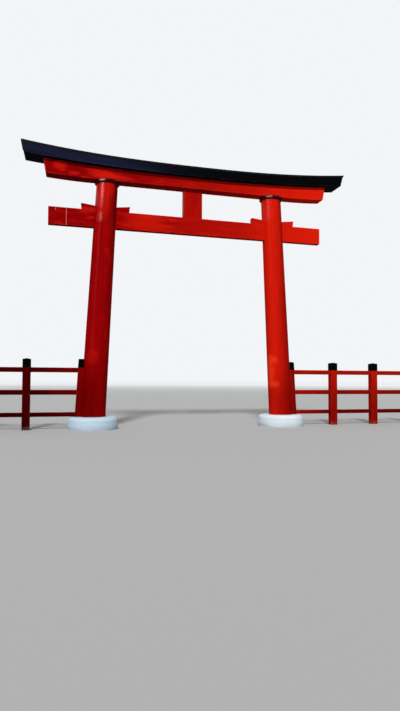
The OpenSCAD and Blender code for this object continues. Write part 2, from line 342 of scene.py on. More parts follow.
def rounded_run(length, radius, pitch, steps=4, marks=()):
    """Distances along a timber, the inset of its skin at each, and arris weights.

    At each end the inset is r - r sin t at the distance r - r cos t, for t from 0 to a
    quarter turn, which rounds the end's rim. Each mark adds the given distances with insets.
    """
    t = np.linspace(0, TURN / 4, steps + 1)
    rim = radius - radius * np.cos(t)
    inset = radius - radius * np.sin(t)
    first = 2.5 * radius
    body = np.concatenate([[first], spaced(first, length - first, pitch), [length - first]])
    run = np.concatenate([
        np.stack([rim, inset, 1 + 0 * t], 1), np.stack([body, 0 * body, 0 * body], 1),
        np.stack([length - rim, inset, 1 + 0 * t], 1)[::-1], np.reshape(marks, (-1, 3)),
    ])
    return run[np.argsort(run[:, 0], kind="stable")].T


def planing(along, across, depth):
    """Shallow hollows, from 0 to depth: sines along the timber, turned and shifted across it."""
    a, b = across[..., 0], across[..., 1]
    wave = np.sin(4.1 * along + 9 * a) + np.sin(9.7 * along - 7 * b + 1.3) + np.sin(2.3 * along + 16 * b)
    return depth * (0.5 + wave / 6)


def sweep(outline, run, place, hollow=0.0):
    """A skin of rings: the outline carried along a run and drawn in by the run's inset.

    The ring at distance s holds the points place(s, q), with q = p - (inset + hollow) n for
    each point p of the outline and its normal n. Returns the rings, the coordinates that
    follow the grain, and the arris weights.
    """
    points, normals, corner = outline
    along, inset, rim = run
    s = np.repeat(along[:, None], len(points), 1)
    across = np.repeat(points[None], len(along), 0)
    depth = inset[:, None] + planing(s, across, hollow)
    across = across - depth[..., None] * normals
    grain = np.concatenate([across, s[..., None]], -1)
    wear = np.maximum(corner[None], rim[:, None])
    return place(s, across[..., 0], across[..., 1]), grain, wear


def hewn(section, length, place, timber, arris, end=0.7, marks=()):
    """A timber's skin: a section with rounded arrises carried along a run with rounded ends, and planed."""
    outline = rounded_outline(section, arris, timber.pitch)
    run = rounded_run(length, end * arris, timber.pitch, marks=marks)
    return sweep(outline, run, place, timber.planing)


def add_object(name, data):
    """An object in the scene that shows a mesh, a lamp or a camera."""
    made = bpy.data.objects.new(name, data)
    bpy.context.scene.collection.objects.link(made)
    return made


def add_skin(name, skin, slot):
    """Makes a mesh of a skin of closed rings with a flat face at each end.

    Ring i and ring i + 1 are joined by quads, and the first and last ring close with one
    face each. The mesh stands for the CAD node of the same name and rides on the gate.
    """
    rings, grain, wear = skin
    rows, columns = rings.shape[:2]
    index = np.arange(rows * columns).reshape(rows, columns)
    beside = np.roll(index, -1, axis=1)
    quads = np.stack([index[:-1], beside[:-1], beside[1:], index[1:]], -1).reshape(-1, 4)
    faces = quads.tolist() + [index[0, ::-1].tolist(), index[-1].tolist()]
    mesh = bpy.data.meshes.new(name)
    mesh.from_pydata(rings.reshape(-1, 3).tolist(), [], faces)
    if signed_volume(mesh) < 0:
        mesh.flip_normals()
    lay = mesh.attributes.new("lay", "FLOAT_VECTOR", "POINT")
    lay.data.foreach_set("vector", (grain + corners(name)[0]).ravel())
    worn = mesh.attributes.new("wear", "FLOAT", "POINT")
    worn.data.foreach_set("value", np.ascontiguousarray(wear).ravel())
    mesh.polygons.foreach_set("use_smooth", np.ones(len(mesh.polygons), bool))
    mesh.set_sharp_from_angle(angle=SHARP)
    mesh.materials.append(finish_of(slot))
    piece = add_object(name + "_skin", mesh)
    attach(piece, BODY)
    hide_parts(name)


def signed_volume(mesh):
    """The volume inside a mesh, negative if its faces point inwards: the sum of v0 . (v1 x v2) / 6."""
    mesh.calc_loop_triangles()
    corner = np.zeros(3 * len(mesh.loop_triangles), np.int32)
    mesh.loop_triangles.foreach_get("vertices", corner)
    co = np.zeros(3 * len(mesh.vertices))
    mesh.vertices.foreach_get("co", co)
    v = co.reshape(-1, 3)[corner.reshape(-1, 3)]
    return np.einsum("ij,ij->i", v[:, 0], np.cross(v[:, 1], v[:, 2])).sum() / 6


# Shader maths


class Value:
    """A socket in a node tree that can stand in sums, differences and products."""

    def __init__(self, nodes, socket):
        self.nodes = nodes
        self.socket = socket

    def math(self, operation, a, b):
        return self.nodes.node("ShaderNodeMath", {"operation": operation}, {0: a, 1: b})

    def __add__(self, other):
        return self.math("ADD", self, other)

    __radd__ = __add__

    def __sub__(self, other):
        return self.math("SUBTRACT", self, other)

    def __rsub__(self, other):
        return self.math("SUBTRACT", other, self)

    def __mul__(self, other):
        return self.math("MULTIPLY", self, other)

    __rmul__ = __mul__


class Nodes:
    """The nodes of a finish or of the world, while they are being made."""

    def __init__(self, tree):
        self.tree = tree

    def node(self, kind, settings=None, inputs=None, output=0):
        """Adds one node, sets it up, joins its inputs, and returns one of its outputs."""
        made = self.tree.nodes.new(kind)
        for key, value in (settings or {}).items():
            setattr(made, key, value)
        for key, value in (inputs or {}).items():
            if isinstance(value, Value):
                self.tree.links.new(value.socket, made.inputs[key])
            else:
                made.inputs[key].default_value = value
        return Value(self, made.outputs[output])

    def ramp(self, value, low, high, to_low=0.0, to_high=1.0):
        """A value carried smoothly from one range to another, and held at its ends."""
        return self.node("ShaderNodeMapRange", {"interpolation_type": "SMOOTHSTEP"}, {
            0: value, 1: low, 2: high, 3: to_low, 4: to_high,
        })

    def seen(self):
        """1 for the rays that show a surface, and 0 for those that carry light."""
        camera, gloss, glass = (self.node("ShaderNodeLightPath", output=ray) for ray in SEEING_RAYS)
        return camera.math("MAXIMUM", camera.math("MAXIMUM", camera, gloss), glass)


class Paint(Nodes):
    """A finish that is being made: its material, its shader, and patterns over the gate."""

    def __init__(self, name, **constants):
        self.material = bpy.data.materials.new(name)
        self.material.use_nodes = True
        super().__init__(self.material.node_tree)
        self.shader = self.tree.nodes["Principled BSDF"]
        for key, value in constants.items():
            self.shader.inputs[key.replace("_", " ")].default_value = value
        self.spot = self.node("ShaderNodeTexCoord", output="Object")

    def finished(self, **links):
        """Joins values to the shader's own sockets and gives the material."""
        for key, value in links.items():
            self.tree.links.new(value.socket, self.shader.inputs[key.replace("_", " ")])
        return self.material

    def vector(self, operation, a, b=(0.0, 0.0, 0.0), output="Vector"):
        """Vector maths on one or two vectors."""
        return self.node("ShaderNodeVectorMath", {"operation": operation}, {0: a, 1: b}, output)

    def faces(self, *direction):
        """How squarely the surface faces a direction: the cosine between them."""
        facing = self.node("ShaderNodeTexCoord", output="Normal")
        return self.vector("DOT_PRODUCT", facing, direction, "Value")

    def wear(self):
        """1 on the rounded arrises and 0 on the faces."""
        return self.node("ShaderNodeAttribute", {"attribute_name": "wear"}, output="Fac")

    def noise(self, scale=1.0, detail=3.0, roughness=0.5, distortion=0.0, over=None):
        """Cloudy noise from 0 to 1 with its middle at a half, over the gate or over another vector."""
        return self.node("ShaderNodeTexNoise", {}, {
            "Vector": over or self.spot, "Scale": scale, "Detail": detail, "Roughness": roughness,
            "Distortion": distortion,
        })

    def stretched(self, *scale, vector=None):
        """The place on the gate, or another vector, with each part multiplied by its own scale."""
        return self.vector("MULTIPLY", vector or self.spot, scale)

    def grained(self, across, along, **settings):
        """Noise that follows the timber, with so many clouds to the metre across it and along it."""
        grain = self.node("ShaderNodeAttribute", {"attribute_name": "lay"}, output="Vector")
        return self.noise(over=self.stretched(across, across, along, vector=grain), **settings)

    def length(self, vector):
        """The length of a vector."""
        return self.vector("LENGTH", vector, output="Value")

    def near(self, place, reach, rough=0.0):
        """1 round a place and 0 past its reach along each axis, with a soft edge that noise may roughen."""
        apart = self.vector("SUBTRACT", self.spot, place)
        apart = self.length(self.stretched(*(1 / part for part in reach), vector=apart))
        return self.ramp(apart + rough, 1.15, 0.35)

    def size(self, value):
        """A value without its sign."""
        return self.node("ShaderNodeMath", {"operation": "ABSOLUTE"}, {0: value})

    def part(self, axis):
        """One coordinate of a place on the gate, in metres."""
        return self.node("ShaderNodeSeparateXYZ", {}, {0: self.spot}, output=axis)

    def band(self, value, low, high, blur):
        """1 where a value lies between two others, and 0 outside them."""
        return self.ramp(value, low - blur, low + blur) * self.ramp(value, high + blur, high - blur)

    def mix(self, factor, a, b):
        """A colour between two colours: inputs 6 and 7 of Mix are its colours, and output 2 its result."""
        a, b = (colour if isinstance(colour, Value) else (*colour, 1.0) for colour in (a, b))
        settings = {"data_type": "RGBA", "clamp_factor": True}
        return self.node("ShaderNodeMix", settings, {0: factor, 6: a, 7: b}, output=2)

    def coated(self, colour, coats):
        """A colour under coats of others, laid in order, each with how much of it shows."""
        for factor, coat in coats:
            colour = self.mix(factor, colour, coat)
        return colour

    def bump(self, height, distance):
        """The normal over a surface whose height, from 0 to 1, is drawn out to the distance in metres."""
        return self.node("ShaderNodeBump", {}, {"Strength": 1.0, "Distance": distance, "Height": height})


def scaled(colour, factor):
    """A colour made lighter or darker."""
    return tuple(min(1.0, part * factor) for part in colour)


# Finishes


def vermilion_lacquer(paint):
    """Vermilion lacquer, under painted shade at the left and low down, and under painted sunlight at the
    right and high up.

    Darker and paler streaks follow the timber, and partly stand for painted reflections. Painted shade lies
    low down, on the fence and on undersides, and painted highlights and dapples of sunlight lie on the
    columns. The coats are laid in order, each with how much of it shows. The gloss is a thin clear coat,
    which is whole only on the side of the column heads that the weather spares.
    """
    made = Paint("vermilion_lacquer", Specular_IOR_Level=0.0, Coat_Roughness=0.22)
    ramp = made.ramp
    x, y, z = (made.part(axis) for axis in range(3))
    cloud = made.noise(scale=0.55, detail=2.0)
    streak = made.grained(7.0, 0.35, detail=4.0, roughness=0.6)
    patch = made.grained(8.0, 1.7, roughness=0.55)
    brush = made.grained(70.0, 1.6, detail=2.0)
    rough = 0.9 * (patch - 0.5) + 0.5 * (streak - 0.5)

    # Darker tints serve both the grain and painted shade, paler tints both the grain and painted sunlight
    def deep_and_shaded(share):
        return scaled(paint.vermilion_painted_shade, share)

    def pale_and_sunlit(share):
        return scaled(paint.vermilion_painted_sun, share)

    # Near-black that the painted shade goes towards
    shade_black = deep_and_shaded(0.05)
    # From 0 at the left end to 1 at the right: tone over the whole gate, and day for the fence. Along them
    # the lacquer goes from painted shade to painted sunlight.
    tone = ramp(x + 1.2 * (cloud - 0.5), -3.2, 6.2)
    day = ramp(x + 1.2 * (cloud - 0.5), -2.5, 4.6)
    # How strongly the streaks show, painted sunlight on the high parts and on the side that faces the front
    # left, and paler streaks and patches that are partly grain and partly painted reflections
    high = ramp(z, 4.5, 7.0)
    uneven = (1.0 - 0.7 * ramp(x, -1.5, 1.0)) * ramp(z, 2.0, 5.6, 0.30, 1.0)
    pale = ramp(streak, 0.60, 0.25) * ramp(cloud, 0.5, 0.75) + ramp(patch, 0.46, 0.28)
    sunlit_side = ramp(made.faces(-0.87, -0.49, 0.0), 0.60, 0.95)
    # The columns' shafts, their lower halves, and their sides that face right, away from the sun, which get
    # painted shade
    out = made.size(x) + LEAN * z
    column_out, column_in = COLUMN_SIDE
    post_out, post_in = END_POST_SIDE
    shaft = ramp(out, column_out, column_in)
    lower = ramp(z, 5.5, 3.0) * shaft
    shady = ramp(made.faces(0.94, -0.34, 0.0), 0.38 - 0.73 * lower, 1.0)
    # The fence, its far parts and its rails, which are thinner than the posts
    under_caps = ramp(z, 2.4, 2.1)
    fence = ramp(x * x, 9.9, 11.6) * under_caps
    far = ramp(x * x, 10.5, 21.0) * under_caps
    rail = fence * ramp(y * y, 0.0085, 0.0045)
    # Painted shade near the ground and on the right-hand sides high up, and painted light on the right-hand
    # sides low down
    held = tone.math("MAXIMUM", tone, fence)
    low_shade = ramp(z + 0.8 * tone, 2.6 + 0.2 * held, 0.8 + 0.5 * held)
    rightward = made.faces(1.0, 0.0, 0.0)
    shaded_head_side = ramp(rightward, 0.35, 0.85) * ramp(z, 5.5, 6.3)
    lit = ramp(rightward, -0.3, 0.6) * ramp(z, 2.4, 1.2)
    # The end posts, which get painted shade, and the sides of shafts and posts that face left, which get
    # painted light
    end_post = ramp(out, column_in, column_out) * ramp(out, post_out, post_in) * ramp(z, 2.1, 2.0)
    lit_left_side = ramp(made.faces(-0.95, -0.20, 0.0), 0.60, 0.95) * shaft
    lit_flank = ramp(made.faces(-1.0, 0.0, 0.0), 0.70, 0.95) * fence * day
    # Dust at the foot, worn arrises that also carry a painted highlight, undersides that get painted shade,
    # and painted shade over the middle of the beams
    dust = ramp(z, 0.14, 0.0) * ramp(made.noise(scale=9.0), 0.35, 0.65)
    edge = made.wear() * ramp(made.noise(scale=5.0, detail=4.0), 0.35, 0.65)
    under = ramp(made.faces(0.0, 0.0, 1.0), -0.4, -0.9)
    shaded_middle = made.near((0.90, 0.0, 6.70), (1.75, THROUGH, 1.50))
    coats = [
        # Painted sunlight on the high parts, then darker streaks and patches of the grain, then paler
        # streaks and patches that are partly grain and partly painted reflections
        (high * tone * 0.35, pale_and_sunlit(1.35)),
        (ramp(streak, 0.30, 0.72) * uneven * 0.24, deep_and_shaded(0.60)),
        (ramp(patch, 0.52, 0.70) * uneven * 0.32, deep_and_shaded(0.50)),
        (pale * (0.22 + 0.16 * high), pale_and_sunlit(1.25)),
    ]
    # Painted highlights: pale places that stand for light reflected off the lacquer
    coats += [(made.near(place, reach, rough) * share, pale_and_sunlit(1.1)) for place, reach, share in PAINTED_HIGHLIGHTS]
    coats += [
        # Painted shade over the middle of the beams, painted sunlight on the side that faces the front
        # left, and painted shade on the side that faces right and low down
        (shaded_middle * 0.34, deep_and_shaded(0.9)),
        (sunlit_side * tone * 0.30, pale_and_sunlit(1.3)),
        (shady * tone * (0.60 + 0.15 * lower), deep_and_shaded(0.5)),
        (ramp(z, 1.7, 0.4) * tone * 0.42, deep_and_shaded(1.25)),
        # Painted shade near the ground, on the right-facing side of the left column's head, on the end
        # posts, and over the fence, its far bays and its rails, with painted light on right-facing sides
        # low down
        (low_shade * (0.52 - 0.20 * tone), shade_black),
        (shaded_head_side * (1.0 - tone) * 0.50, shade_black),
        (lit * (1.0 - held) * 0.26, deep_and_shaded(1.6)),
        (end_post * tone * ramp(z, 0.6, 1.8, 0.44, 0.74), shade_black),
        (fence * ramp(z, 1.6, 0.3) * (0.38 - 0.36 * day), shade_black),
        (fence * day * (0.25 + 0.30 * (1.0 - far) * (1.0 - rail)), shade_black),
        (far * (0.69 - 0.54 * day), shade_black),
        (rail * ramp(z, 1.2, 1.5) * (0.20 + 0.20 * day * ramp(out, 3.8, 3.4)), shade_black),
        (rail * ramp(z, 1.5, 0.5) * far * far * 0.62, shade_black),
        (rail * ramp(z, 0.95, 0.5) * (1.0 - day) * 0.35, shade_black),
        # Painted light on the sides of shafts and fence that face left
        (lit_left_side * tone * ramp(z, 2.6, 1.0, 0.24, 0.38), pale_and_sunlit(1.2)),
        (lit_flank * ramp(z, 1.8, 0.4, 0.24, 0.40), pale_and_sunlit(1.0)),
    ]
    # Painted sunlight: orange dapples on the columns
    coats += [(made.near(place, reach, rough) * share, DAPPLE_ORANGE) for place, reach, share in PAINTED_DAPPLES]
    coats.append((dust * 0.22, paint.earth))
    for place, low, top in seam_lines():
        line = ramp(made.size(x - place), 0.5 * SEAM_W, 0.3 * SEAM_W) * made.band(z, low, top, 5 * MM)
        coats.append((line * ramp(streak, 0.2, 0.5, 0.6, 1.0), FILLER))
    # Worn arrises with a painted highlight, and painted shade on undersides
    coats += [(edge * 0.22, WORN_AND_SHEEN), (under * (0.22 - 0.18 * tone), deep_and_shaded(0.08))]
    spared = ramp(made.faces(-0.8, -0.6, 0.0), 0.76, 0.84)
    shine = ramp(z, 6.15, 6.50) + made.near((-2.67, -0.3, 6.0), (0.5, 0.8, 0.16))
    gloss = spared * shine * ramp(streak, 0.40, 0.60, 0.35, 1.0) * (1.0 - tone)
    return made.finished(
        Base_Color=made.coated(made.mix(tone, paint.vermilion_painted_shade, paint.vermilion_painted_sun), coats),
        Roughness=0.34 + 0.10 * (streak - 0.5), Coat_Weight=0.012 + 0.49 * gloss,
        Normal=made.bump(0.75 * streak + 0.25 * brush, 2.0 * MM),
    )


def black_lacquer(paint):
    """Black lacquer with a painted blue-grey reflection of the sky, strongest at the left and weaker on
    undersides, which leaves painted shade there.
    """
    made = Paint("black_lacquer", Specular_IOR_Level=0.0, Coat_Weight=0.03, Coat_Roughness=0.35)
    cloud = made.noise(scale=0.5, detail=2.0)
    streak = made.grained(9.0, 0.4, detail=4.0, roughness=0.6)
    # Painted reflection of the sky: strongest at the left, streaked, and weaker on undersides, which leaves
    # painted shade there
    sky_sheen = made.ramp(made.part(0) + 1.6 * (cloud - 0.5), 0.8, -2.4)
    sky_sheen = sky_sheen * made.ramp(streak, 0.38, 0.62, 0.5, 1.0)
    sky_sheen = sky_sheen * made.ramp(made.faces(0.0, 0.0, 1.0), -0.8, -0.3, 0.15, 1.0)
    edge = made.wear() * made.ramp(made.noise(scale=6.0, detail=4.0), 0.4, 0.7)
    coats = [(sky_sheen, paint.black_sky_sheen), (edge * 0.25, (0.05, 0.045, 0.045))]
    return made.finished(
        Base_Color=made.coated(paint.black, coats), Roughness=0.36 + 0.25 * (streak - 0.5),
        Normal=made.bump(streak, 1.5 * MM),
    )


def copper_cover(paint):
    """Sheet copper gone dark brown, with paler runs of weathering down the slopes."""
    made = Paint("copper_cover", Specular_IOR_Level=0.05)
    runs = made.noise(over=made.stretched(14.0, 1.2, 1.2), detail=4.0, roughness=0.65)
    cloud = made.noise(scale=1.1, detail=5.0, roughness=0.6)
    patina = made.ramp(cloud, 0.56, 0.72) * made.ramp(runs, 0.4, 0.7)
    coats = [
        (made.ramp(runs, 0.35, 0.75), scaled(paint.copper, 2.4)), (patina * 0.35, (0.045, 0.065, 0.055)),
        (made.wear() * 0.25, (0.06, 0.045, 0.035)),
    ]
    return made.finished(
        Base_Color=made.coated(paint.copper, coats), Roughness=0.46 + 0.3 * (cloud - 0.5),
        Normal=made.bump(0.5 * cloud + 0.5 * runs, 2.0 * MM),
    )


def dark_ring(paint):
    """Black-brown lacquer with a high gloss, for the capital rings, with a painted highlight at the front
    left.
    """
    made = Paint("dark_ring", Specular_IOR_Level=0.0, Coat_Weight=0.16, Coat_Roughness=0.18)
    cloud = made.noise(scale=4.0)
    # A painted highlight: a pale warm patch on the side that faces the front left
    painted_glint = made.ramp(made.faces(-0.48, -0.88, 0.0), 0.955, 0.995) * made.ramp(cloud, 0.25, 0.5)
    coats = [(cloud, (0.030, 0.004, 0.004)), (painted_glint * 0.8, (0.42, 0.25, 0.23))]
    return made.finished(
        Base_Color=made.coated((0.010, 0.001, 0.001), coats), Roughness=0.24 + 0.2 * (cloud - 0.5),
        Normal=made.bump(cloud, 1.0 * MM),
    )


def black_cap(paint):
    """Black painted metal of the post caps."""
    made = Paint("black_cap", Specular_IOR_Level=0.0, Coat_Weight=0.02, Coat_Roughness=0.35)
    speck = made.noise(scale=24.0, detail=4.0)
    cloud = made.noise(scale=5.0)
    edge = made.wear() * made.ramp(speck, 0.5, 0.7)
    coats = [(cloud, (0.0022, 0.0022, 0.0026)), (edge * 0.2, (0.03, 0.03, 0.03))]
    return made.finished(
        Base_Color=made.coated((0.0006, 0.0006, 0.0007), coats), Roughness=0.42 + 0.3 * (cloud - 0.5),
        Normal=made.bump(speck, 0.4 * MM),
    )


def lime_plaster(paint):
    """White lime plaster: trowel marks, hair cracks, earth splashed up from the ground, and painted shade
    at the left.
    """
    made = Paint("lime_plaster", Specular_IOR_Level=0.2)
    cloud = made.noise(scale=2.2, detail=4.0)
    trowel = made.noise(over=made.stretched(5.0, 5.0, 16.0), detail=4.0, distortion=0.6)
    grit = made.noise(scale=160.0)
    cells = made.node("ShaderNodeTexVoronoi", {"feature": "DISTANCE_TO_EDGE"}, {
        "Vector": made.stretched(1.0, 1.0, 1.6), "Scale": 4.5, "Randomness": 1.0,
    })
    crack = made.ramp(cells, 0.006, 0.0) * made.ramp(cloud, 0.52, 0.60)
    splash = made.ramp(made.part(2) + 0.12 * (cloud - 0.5), 0.08, 0.0)
    splash = splash * made.ramp(made.noise(scale=14.0, detail=5.0, roughness=0.7), 0.25, 0.65)
    coats = [
        # Painted shade: the plaster turns from shaded blue at the left to its own colour at the right
        (made.ramp(made.part(0), -2.0, 1.5), paint.plaster),
        (made.ramp(cloud, 0.7, 0.3) * 0.35, scaled(paint.plaster, 0.80)),
        (made.ramp(trowel, 0.55, 0.8) * 0.25, scaled(paint.plaster_shaded, 0.85)),
        (splash * 0.35, paint.earth),
        (crack * 0.6, (0.22, 0.22, 0.23)),
    ]
    return made.finished(
        Base_Color=made.coated(paint.plaster_shaded, coats), Roughness=0.78 + 0.2 * (cloud - 0.5),
        Normal=made.bump(0.6 * trowel + 0.2 * grit - 0.5 * crack, 3.0 * MM),
    )


FINISHES = {
    "vermilion_lacquer": vermilion_lacquer,
    "black_lacquer": black_lacquer,
    "copper_cover": copper_cover,
    "dark_bronze": dark_ring,
    "black_caps": black_cap,
    "white_plaster": lime_plaster,
}


@cache
def finish_of(slot):
    """The material for one of the record's material slots, made when it is first wanted."""
    return FINISHES[slot](bpy.context.scene.torii_paint)


# The columns, their plinths and their rings


def circle(timber):
    """Angles evenly round a full turn, one for each face round a column."""
    return np.linspace(0, TURN, timber.column_faces, endpoint=False)


def round_skin(centre, radius, height, angle):
    """A skin of circles: radius times the angle's cosine and sine round a centre, at a height."""
    x = radius * np.cos(angle)
    y = radius * np.sin(angle)
    z = height + 0 * radius
    return np.stack([centre + x, y, z], -1), np.stack([x, y, z], -1), np.zeros(radius.shape)


def column_skin(side, timber):
    """A leaning, tapering shaft with level rings.

    At height z the ring has its centre and radius on straight lines between the foot and the
    head, which is where the capital ring starts. The radius is drawn in by shallow hollows, a
    sum of sines in the angle and the height.
    """
    node = side + "_column"
    foot_z = corners(node)[0][2]
    head_z = corners(side + "_capital_ring")[0][2]
    foot_x, foot_r = level_ring(node, foot_z)
    head_x, head_r = level_ring(node, head_z)
    z = np.linspace(foot_z, head_z, int((head_z - foot_z) / (timber.pitch / 2)))[:, None]
    t = (z - foot_z) / (head_z - foot_z)
    angle = circle(timber)[None]
    wave = np.sin(3 * angle + 1.1 * z) + 0.7 * np.sin(7 * angle - 2.3 * z + 2)
    wave = wave + 0.45 * np.sin(19 * angle + 0.9 * z) * np.sin(1.7 * z + 1)
    wave = wave + 0.3 * np.sin(31 * angle - 0.5 * z) * np.sin(2.6 * z)
    radius = foot_r + (head_r - foot_r) * t - timber.planing * (0.5 + wave / 4.9)
    return round_skin(foot_x + (head_x - foot_x) * t, radius, z, angle)


def ring_skin(side, timber):
    """A capital ring: a circle carried up its height, with both rims rounded."""
    lo, hi = corners(side + "_capital_ring")
    radius = (hi[1] - lo[1]) / 2
    angle = circle(timber)
    facing = np.stack([np.cos(angle), np.sin(angle)], 1)
    run = rounded_run(hi[2] - lo[2], timber.ring_rim, 20 * MM, steps=8)

    def place(s, a, b):
        return np.stack([(lo[0] + hi[0]) / 2 + a, b, lo[2] + s], -1)

    return sweep((radius * facing, facing, np.zeros(len(angle))), run, place)


def plinth_skin(side, timber, plaster, rings_up=60, rings_over=24):
    """A round plinth of trowelled plaster.

    Its profile is read from the CAD solid: the greatest radius at each height up the side and
    shoulder, then rings running in over the flat top. Soft hollows, a sum of sines in the
    angle and the distance along the profile, draw it in along its normal. They start from
    nothing at the foot, so it stands on the ground all round.
    """
    node = side + "_plinth"
    lo, hi = corners(node)
    centre = (lo[0] + hi[0]) / 2
    co = vertices(node)
    reach = np.hypot(co[:, 0] - centre, co[:, 1])
    levels = np.unique(co[:, 2].round(4))
    outer = np.array([reach[np.abs(co[:, 2] - z) < 0.2 * MM].max() for z in levels])
    keep = outer > 0.75 * outer.max()
    z = np.linspace(levels[keep][0], levels[keep][-1], rings_up)
    r = np.interp(z, levels[keep], outer[keep])
    over_top = np.linspace(r[-1], 20 * MM, rings_over)[1:]
    r = np.concatenate([r, over_top])
    z = np.concatenate([z, np.full(len(over_top), z[-1])])
    step = np.gradient(np.stack([r, z], 1), axis=0)
    normal = np.stack([step[:, 1], -step[:, 0]], 1) / np.linalg.norm(step, axis=1)[:, None]
    along = np.concatenate([[0], np.cumsum(np.hypot(np.diff(r), np.diff(z)))])[:, None]
    angle = circle(timber)[None]
    wave = np.sin(3 * angle + 5 * along) + 0.8 * np.sin(5 * angle - 9 * along + 1)
    wave = wave + 0.6 * np.sin(11 * angle + 14 * along + 2) + 0.4 * np.sin(23 * angle - 21 * along)
    depth = plaster.trowel * (0.5 + wave / 5.6) * np.clip(along / (40 * MM), 0, 1)
    radius = r[:, None] - depth * normal[:, :1]
    return round_skin(centre, radius, z[:, None] - depth * normal[:, 1:], angle)


# The tie beam, its wedges and the centre strut


def straight_timber(node, axis, timber, marks=()):
    """A straight timber that fills a CAD node's box along its x or z axis, with every edge rounded."""
    lo, hi = corners(node)
    size = hi - lo
    middle = (lo + hi) / 2
    section = rectangle(size[1], size[2]) if axis == 0 else rectangle(size[0], size[1])

    def place(s, a, b):
        if axis == 0:
            return np.stack([lo[0] + s, middle[1] + a, lo[2] + b], -1)
        return np.stack([middle[0] + a, lo[1] + b, lo[2] + s], -1)

    return hewn(section, size[axis], place, timber, timber.arris, marks=marks)


def seam(distance, depth=1.5 * MM, half=2.5 * MM):
    """Marks of a fine groove round a timber, with worn lips."""
    return [
        (distance - 2 * half, 0, 0), (distance - half, 0, 1), (distance, depth, 1),
        (distance + half, 0, 1), (distance + 2 * half, 0, 0),
    ]


def wedge_skin(name, timber):
    """A wedge: its section's height runs on a straight line from the thin end to the butt.

    The butt leans out: at a share t of the height, the wedge is as long as its underside and t
    times what its top is longer. Heights and lengths are read from the CAD solid.
    """
    lo, hi = corners(name)
    co = vertices(name)
    ends = [at(co, 0, x)[:, 2].max() - lo[2] for x in (lo[0], hi[0])]
    thin = lo[0] if ends[0] < ends[1] else hi[0]
    under = np.abs(at(co, 2, lo[2])[:, 0] - thin).max()
    length = hi[0] - lo[0]
    full = hi[2] - lo[2]
    outline = rounded_outline(rectangle(hi[1] - lo[1], full), 0.6 * timber.arris, timber.pitch / 3)
    run = rounded_run(length, 0.4 * timber.arris, timber.pitch / 2)

    def place(s, a, b):
        height = ends[0] + (ends[1] - ends[0]) * s / length
        reach = (under + (length - under) * b / full) / length
        return np.stack([thin + (lo[0] + s - thin) * reach, a + 0 * s, lo[2] + b * height / full], -1)

    return sweep(outline, run, place, 0.5 * timber.planing)


# The two lintels and the roof cover


def bowed(x, line, power):
    """The height of a curved edge: middle + (end - middle) (|x| / half) ^ power."""
    half, middle, end = line
    return middle + (end - middle) * (np.abs(x) / half) ** power


def sori_power():
    """The power of the upper lintel's curve, worked out from the CAD solid's ridge."""
    ridge = at(vertices("upper_lintel"), 1, 0, MM)
    ridge = ridge[np.argsort(ridge[:, 0])]
    half, low, high = ridge[-1, 0], ridge[:, 2].min(), ridge[:, 2].max()
    outer = ridge[(ridge[:, 0] > 0.5 * half) & (ridge[:, 0] < 0.95 * half)]
    return float(np.mean(np.log((outer[:, 2] - low) / (high - low)) / np.log(outer[:, 0] / half)))


def upper_lines():
    """The upper lintel's half width at foot and eaves, and its under edge, top edge and ridge."""
    lo, hi = corners("upper_lintel")
    co = vertices("upper_lintel")
    foot_y = abs(co[np.argmin(co[:, 2]), 1])
    edges = ((-foot_y, min), (lo[1], max), (0.0, max))
    return foot_y, hi[1], [long_edge("upper_lintel", y, pick) for y, pick in edges]


def upper_skin(timber):
    """The upper lintel: a five-sided section carried along its bow, with ends cut on a slant.

    At u from -1 to 1 along the beam, a point h up the section lies at x = u half(h) and at the
    height between the bowed under edge and top edge, or above the top edge by what h exceeds it.
    """
    foot_y, edge_y, (under, edge, ridge) = upper_lines()
    tall = edge[1] - under[1]
    power = sori_power()
    slant = (edge[0] - under[0]) / tall
    peak = ridge[1] - under[1]
    section = [(-foot_y, 0), (foot_y, 0), (edge_y, tall), (0, peak), (-edge_y, tall)]
    length = 2 * under[0]

    def place(s, a, h):
        u = 2 * s / length - 1
        low = bowed(u * under[0], under, power)
        high = bowed(u * edge[0], edge, power)
        z = low + np.minimum(h, tall) * (high - low) / tall + np.maximum(h - tall, 0)
        return np.stack([u * (under[0] + slant * h), a, z], -1)

    return hewn(section, length, place, timber, timber.lintel_arris)


def lower_skin(timber):
    """The lower lintel: a rectangle between its own under edge and the upper lintel's bow.

    The under edge is level in the middle and rises as a square towards the ends. Its level
    stretch and its rise are read from the CAD solid, whose ends reach farthest at their tops.
    """
    lo, hi = corners("lower_lintel")
    co = vertices("lower_lintel")
    level = np.abs(at(co, 2, lo[2])[:, 0]).max()
    tips = at(co, 0, hi[0], MM)
    under = co[co[:, 2] < tips[:, 2].min() - 200 * MM]
    half = under[:, 0].max()
    rise = at(under, 0, half, MM)[:, 2].max() - lo[2]
    _, _, (seat, _, _) = upper_lines()
    power = sori_power()
    gap = bowed(hi[0], seat, power) - hi[2]
    tall = seat[1] - gap - lo[2]
    slant = (hi[0] - half) / tall
    length = 2 * half

    def place(s, a, h):
        u = 2 * s / length - 1
        past = np.maximum(0, np.abs(u * half) - level) / (half - level)
        low = lo[2] + rise * past ** 2
        high = bowed(u * hi[0], seat, power) - gap
        return np.stack([u * (half + slant * h), a, low + h * (high - low) / tall], -1)

    return hewn(rectangle(hi[1] - lo[1], tall), length, place, timber, timber.lintel_arris)


